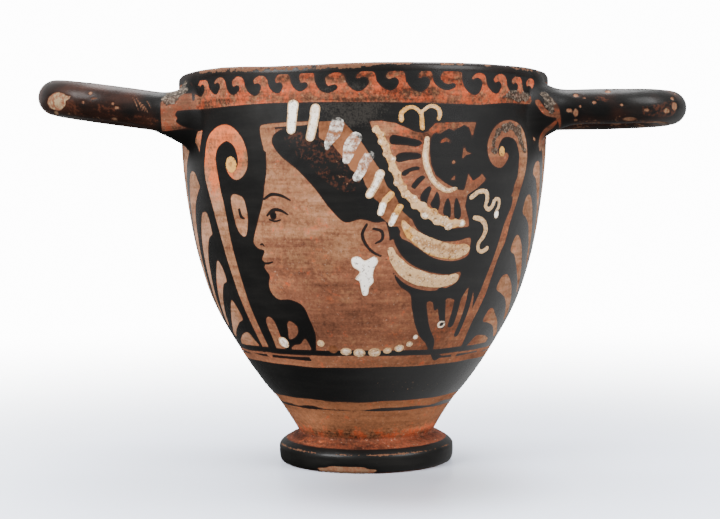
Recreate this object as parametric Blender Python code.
"""Red-figure skyphos: a deep turned clay cup on a disc foot, with two loop handles just under the rim.

Units are metres and +Z is up. The origin is the middle of the foot's resting plane. The cup's axis is
Z, the handles lie along X, and the painted front faces -Y. The pot is one fired piece, so it is one
solid: a turned cup, with two rolled clay loops pressed onto its outside.
"""

import math
from collections import namedtuple

import bmesh
import bpy

# The turned cup
CUP_HEIGHT = 0.1200
RIM_RADIUS = 0.0575
WALL_THICKNESS = 0.0044
LIP_SQUARENESS = 0.28
FLOOR_THICKNESS = 0.0085

# How the wall swells: share of the way up from stem to lip, share of the way out from stem to rim
SWELL = (
    (0.000, 0.000),
    (0.042, 0.073),
    (0.100, 0.189),
    (0.145, 0.302),
    (0.232, 0.480),
    (0.371, 0.712),
    (0.510, 0.850),
    (0.648, 0.929),
    (0.785, 0.975),
    (1.000, 1.000),
)

# The disc foot: a rounded side, a ridge, a narrow step in and a slope up to the stem
STEM_RADIUS = 0.0210
FOOT_OVERHANG = 0.0064
FOOT_EDGE_WIDTH = 0.0011
FOOT_EDGE_HEIGHT = 0.0025
RIDGE_HEIGHT = 0.0054
RIDGE_STEP = 0.0012
FOOT_TOP_SLOPE = 0.0026
FOOT_TOP_FULLNESS = 0.08
RESTING_RING_WIDTH = 0.0050
RECESS_DEPTH = 0.0035
RECESS_SLOPE = 0.0020

# The loop handles: rolled clay of round section, level on the right and rising on the left
HANDLE_ARM_SPACING = 0.0465
HANDLE_END_FLAT = 0.0070
LEFT_HANDLE_DROP = 0.0119
LEFT_HANDLE_LENGTH = 0.0432
LEFT_HANDLE_THICKNESS = 0.0108
LEFT_HANDLE_RISE = math.radians(8.0)
RIGHT_HANDLE_DROP = 0.0109
RIGHT_HANDLE_LENGTH = 0.0424
RIGHT_HANDLE_THICKNESS = 0.0103
RIGHT_HANDLE_RISE = math.radians(0.4)

# The roots, where the clay of the handle is smoothed onto the wall, more below than above
ROOT_FLARE = 0.0036
ROOT_FLARE_LENGTH = 0.0095
ROOT_FLARE_BELOW = 0.0053
LEFT_FLARE_BELOW_LENGTH = 0.0180
RIGHT_FLARE_BELOW_LENGTH = 0.0125
ROOT_DEPTH = 0.0013

# What sets each loop apart; its side is -1 to the left and 1 to the right
Loop = namedtuple("Loop", "name side drop length thickness rise flare_below_length")
LOOPS = (
    Loop(
        name="left_handle",
        side=-1,
        drop=LEFT_HANDLE_DROP,
        length=LEFT_HANDLE_LENGTH,
        thickness=LEFT_HANDLE_THICKNESS,
        rise=LEFT_HANDLE_RISE,
        flare_below_length=LEFT_FLARE_BELOW_LENGTH,
    ),
    Loop(
        name="right_handle",
        side=1,
        drop=RIGHT_HANDLE_DROP,
        length=RIGHT_HANDLE_LENGTH,
        thickness=RIGHT_HANDLE_THICKNESS,
        rise=RIGHT_HANDLE_RISE,
        flare_below_length=RIGHT_FLARE_BELOW_LENGTH,
    ),
)

# Fineness of the faceted solid
TURN_STEPS = 64
WALL_ROWS = 16
EDGE_STEPS = 3
LIP_STEPS = 6
FLOOR_ROWS = 4
HANDLE_SIDES = 14
CORNER_STEPS = 7
FLARE_SHARES = (0.04, 0.12, 0.24, 0.40, 0.60, 1.0)

# Sizes that follow from those above
FOOT_RADIUS = STEM_RADIUS + FOOT_OVERHANG
STEM_HEIGHT = RIDGE_HEIGHT + RIDGE_STEP + FOOT_TOP_SLOPE
LIP_HEIGHT = CUP_HEIGHT - WALL_THICKNESS / 2
FLOOR_HEIGHT = RECESS_DEPTH + FLOOR_THICKNESS
HANDLE_ARM = HANDLE_ARM_SPACING / 2
HANDLE_CORNER_RADIUS = HANDLE_ARM - HANDLE_END_FLAT / 2
ROOT_X = math.sqrt(RIM_RADIUS**2 - HANDLE_ARM**2)

BLACK_GLOSS = (0.018, 0.016, 0.015, 1.0)
BLACK_GLOSS_ROUGHNESS = 0.35


def clear_scene():
    for item in list(bpy.data.objects):
        bpy.data.objects.remove(item, do_unlink=True)


def glossed_clay():
    """The black gloss that covers most of the clay, inside and out."""
    material = bpy.data.materials.new("black_gloss")
    material.use_nodes = True
    shader = material.node_tree.nodes["Principled BSDF"]
    shader.inputs["Base Color"].default_value = BLACK_GLOSS
    shader.inputs["Roughness"].default_value = BLACK_GLOSS_ROUGHNESS
    shader.inputs["Metallic"].default_value = 0.0
    material.diffuse_color = BLACK_GLOSS
    return material


def swell_at(share):
    """The wall's share of the way out at a share of the way up, smooth through the points of SWELL."""
    slopes = []
    for i in range(len(SWELL)):
        low = SWELL[max(i - 1, 0)]
        high = SWELL[min(i + 1, len(SWELL) - 1)]
        slopes.append((high[1] - low[1]) / (high[0] - low[0]))
    i = 0
    while share > SWELL[i + 1][0]:
        i += 1
    (low, out_low), (high, out_high) = SWELL[i], SWELL[i + 1]
    span = high - low
    t = (share - low) / span
    return (
        out_low * (1 + 2 * t) * (1 - t) ** 2
        + out_high * t * t * (3 - 2 * t)
        + slopes[i] * span * t * (1 - t) ** 2
        - slopes[i + 1] * span * t * t * (1 - t)
    )


def wall_radius(height):
    """Outer radius of the wall at a height, held at its ends above the lip and below the stem."""
    share = (height - STEM_HEIGHT) / (LIP_HEIGHT - STEM_HEIGHT)
    return STEM_RADIUS + (RIM_RADIUS - STEM_RADIUS) * swell_at(min(max(share, 0.0), 1.0))


def wall_outline():
    """(radius, height) up the outside of the wall, closer together where it curves most."""
    points = []
    for i in range(WALL_ROWS + 1):
        height = STEM_HEIGHT + (LIP_HEIGHT - STEM_HEIGHT) * (i / WALL_ROWS) ** 1.25
        points.append((wall_radius(height), height))
    return points


def foot_outline():
    """(radius, height) from the middle of the underside, out over the foot and in to the stem."""
    rest = FOOT_RADIUS - FOOT_EDGE_WIDTH
    recess = rest - RESTING_RING_WIDTH
    points = [(0.0, RECESS_DEPTH), (recess - RECESS_SLOPE, RECESS_DEPTH), (recess, 0.0), (rest, 0.0)]
    for i in range(1, EDGE_STEPS + 1):
        angle = math.pi / 2 * i / EDGE_STEPS
        radius = rest + FOOT_EDGE_WIDTH * math.sin(angle)
        points.append((radius, FOOT_EDGE_HEIGHT * (1 - math.cos(angle))))
    points.append((FOOT_RADIUS, RIDGE_HEIGHT))
    step_radius = FOOT_RADIUS - RIDGE_STEP
    step_height = RIDGE_HEIGHT + RIDGE_STEP
    points.append((step_radius, step_height))
    half_radius = (step_radius + STEM_RADIUS) / 2
    points.append((half_radius, step_height + FOOT_TOP_SLOPE * (0.5 + FOOT_TOP_FULLNESS)))
    return points


def lip_outline():
    """The lip from the outer wall over to the inner one, a half round filled out towards a square."""
    half = WALL_THICKNESS / 2
    power = 1 - LIP_SQUARENESS
    points = []
    for i in range(1, LIP_STEPS):
        angle = math.pi * i / LIP_STEPS
        out = math.copysign(abs(math.cos(angle)) ** power, math.cos(angle))
        points.append((RIM_RADIUS - half + half * out, LIP_HEIGHT + half * math.sin(angle) ** power))
    return points


def inner_wall_outline():
    """The wall's outline set into the clay by its thickness, square to itself, from the lip down."""
    outer = wall_outline()
    points = [(RIM_RADIUS - WALL_THICKNESS, LIP_HEIGHT)]
    for i in range(len(outer) - 2, 0, -1):
        run = outer[i + 1][0] - outer[i - 1][0]
        rise = outer[i + 1][1] - outer[i - 1][1]
        length = math.hypot(run, rise)
        radius = outer[i][0] - WALL_THICKNESS * rise / length
        points.append((radius, outer[i][1] + WALL_THICKNESS * run / length))
    return points


def inside_outline():
    """(radius, height) down the inner wall and over the rounded floor to the axis."""
    points = [p for p in inner_wall_outline() if p[1] > FLOOR_HEIGHT + WALL_THICKNESS]
    edge_radius, edge_height = points[-1]
    for i in range(1, FLOOR_ROWS):
        angle = math.pi / 2 * i / FLOOR_ROWS
        height = edge_height - (edge_height - FLOOR_HEIGHT) * math.sin(angle)
        points.append((edge_radius * math.cos(angle), height))
    points.append((0.0, FLOOR_HEIGHT))
    return points


def finish_solid(name, shape):
    """An object of the finished mesh, with its faces pointing out."""
    bmesh.ops.recalc_face_normals(shape, faces=shape.faces)
    mesh = bpy.data.meshes.new(name)
    shape.to_mesh(mesh)
    shape.free()
    item = bpy.data.objects.new(name, mesh)
    bpy.context.scene.collection.objects.link(item)
    return item


def turned_cup(name):
    """The cup turned about Z: foot, outer wall, lip, inner wall and floor in one outline."""
    outline = foot_outline() + wall_outline() + lip_outline() + inside_outline()
    shape = bmesh.new()
    verts = [shape.verts.new((radius, 0.0, height)) for radius, height in outline]
    edges = [shape.edges.new(pair) for pair in zip(verts, verts[1:])]
    bmesh.ops.spin(
        shape,
        geom=verts + edges,
        axis=(0.0, 0.0, 1.0),
        cent=(0.0, 0.0, 0.0),
        angle=math.tau,
        steps=TURN_STEPS,
        use_merge=True,
    )
    bmesh.ops.remove_doubles(shape, verts=shape.verts, dist=1e-6)
    return finish_solid(name, shape)


def loop_stations(loop):
    """Where the loop's cross-sections stand in plan, from one root round to the other.

    Each is (x, y, direction of travel). The first and last stand inside the wall.
    """
    corner_x = RIM_RADIUS + loop.length - loop.thickness / 2 - HANDLE_CORNER_RADIUS
    corner_y = HANDLE_ARM - HANDLE_CORNER_RADIUS
    flare_length = min(loop.flare_below_length, corner_x - ROOT_X)
    stations = [(ROOT_X - ROOT_DEPTH, -HANDLE_ARM, 0.0)]
    for share in FLARE_SHARES:
        stations.append((ROOT_X + flare_length * share, -HANDLE_ARM, 0.0))
    for i in range(CORNER_STEPS + 1):
        turn = math.pi / 2 * i / CORNER_STEPS
        x = corner_x + HANDLE_CORNER_RADIUS * math.sin(turn)
        y = -corner_y - HANDLE_CORNER_RADIUS * math.cos(turn)
        stations.append((x, y, turn))
    return stations + [(x, -y, math.pi - turn) for x, y, turn in reversed(stations)]


def loop_section(station, loop):
    """One cross-section: round along the arm, and hugging the cup's wall where the root meets it."""
    x, y, turn = station
    root_angle = math.atan2(y, ROOT_X)
    outside = x - ROOT_X
    share = max(1 - outside / ROOT_FLARE_LENGTH, 0.0)
    share_below = max(1 - outside / loop.flare_below_length, 0.0)
    flare = ROOT_FLARE * share**3
    flare_below = ROOT_FLARE_BELOW * share_below**2
    hug = min(share, 1.0) ** 2
    points = []
    for i in range(HANDLE_SIDES):
        angle = math.tau * i / HANDLE_SIDES
        widening = flare if math.sin(angle) >= 0 else flare_below
        across = (loop.thickness / 2 + flare) * math.cos(angle)
        height = CUP_HEIGHT - loop.drop + (loop.thickness / 2 + widening) * math.sin(angle)
        free_x = x - across * math.sin(turn)
        free_y = y + across * math.cos(turn)
        radius = wall_radius(height)
        wall_angle = root_angle + math.copysign(across / radius, across * math.cos(turn))
        wall_x = (radius + outside) * math.cos(wall_angle)
        wall_y = (radius + outside) * math.sin(wall_angle)
        point_x = free_x + (wall_x - free_x) * hug
        point_y = free_y + (wall_y - free_y) * hug
        points.append((point_x, point_y, height + max(outside, 0.0) * math.tan(loop.rise)))
    return points


def handle_loop(loop):
    """One loop of rolled clay on its side of the cup, with its roots inside the wall."""
    shape = bmesh.new()
    rings = []
    for station in loop_stations(loop):
        section = loop_section(station, loop)
        rings.append([shape.verts.new((loop.side * x, y, z)) for x, y, z in section])
    for ring, following in zip(rings, rings[1:]):
        for i in range(HANDLE_SIDES):
            j = (i + 1) % HANDLE_SIDES
            shape.faces.new((ring[i], ring[j], following[j], following[i]))
    shape.faces.new(rings[0])
    shape.faces.new(rings[-1])
    item = finish_solid(loop.name, shape)
    item.hide_render = True
    item.display_type = "WIRE"
    return item


def main():
    clear_scene()
    skyphos = turned_cup("skyphos")
    skyphos.data.materials.append(glossed_clay())
    for loop in LOOPS:
        join = skyphos.modifiers.new("join_" + loop.name, "BOOLEAN")
        join.operation = "UNION"
        join.solver = "EXACT"
        join.object = handle_loop(loop)
    skyphos.data.shade_smooth()
    skyphos.data.set_sharp_from_angle(angle=math.radians(40))


main()
